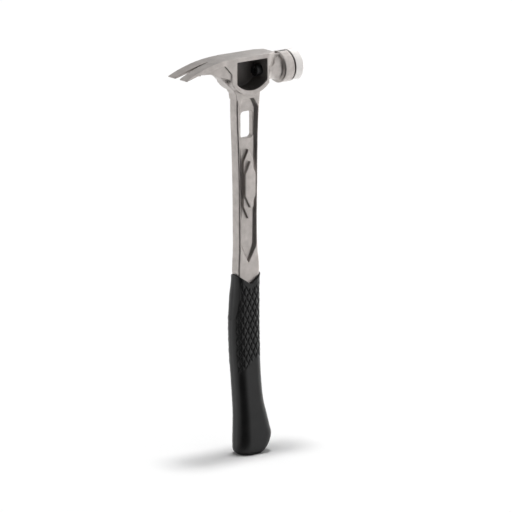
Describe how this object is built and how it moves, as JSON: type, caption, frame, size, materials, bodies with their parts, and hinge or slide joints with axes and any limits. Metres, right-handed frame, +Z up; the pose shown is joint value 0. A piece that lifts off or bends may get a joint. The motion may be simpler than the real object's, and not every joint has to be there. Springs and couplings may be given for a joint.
{
  "type": "framing hammer",
  "caption": "One-piece cast framing hammer with a straight rip claw, windowed head, bolt-on milled striking face, slotted I-section handle and a slip-on rubber grip, standing on its butt.",
  "frame": {"origin": "middle of the flat butt of the grip, on the surface the hammer stands on", "axes": "+Z up the handle to the head, +X towards the striking face, the claw points to -X, the windowed side faces -Y"},
  "size_m": [0.1605, 0.0354, 0.45],
  "materials": {
    "titanium": "blasted cast titanium, matt warm grey",
    "face_steel": "satin turned steel",
    "ring_rubber": "matt black",
    "black_steel": "black oxide",
    "magnet_black": "black coated magnet",
    "grip_rubber": "matt moulded black with a diamond pattern"
  },
  "bodies": {
    "hammer": {"body": "titanium", "magnet": "magnet_black", "grip": "grip_rubber"},
    "striking_face": {"face": "face_steel", "joint_ring": "ring_rubber"},
    "face_bolt": {"bolt": "black_steel"}
  },
  "joints": [
    {"name": "bolt_turn", "type": "hinge", "parent": "hammer", "child": "face_bolt", "pos_m": [0.014, 0, 0.43], "axis": [1, 0, 0], "range_deg": [-3600, 0]},
    {"name": "face_slide", "type": "slide", "parent": "hammer", "child": "striking_face", "axis": [1, 0, 0], "range_m": [0, 0.0125]}
  ],
  "couplings": [
    {"joint": "bolt_turn", "follows": "face_slide", "rad_per_m": -5026.5}
  ]
}
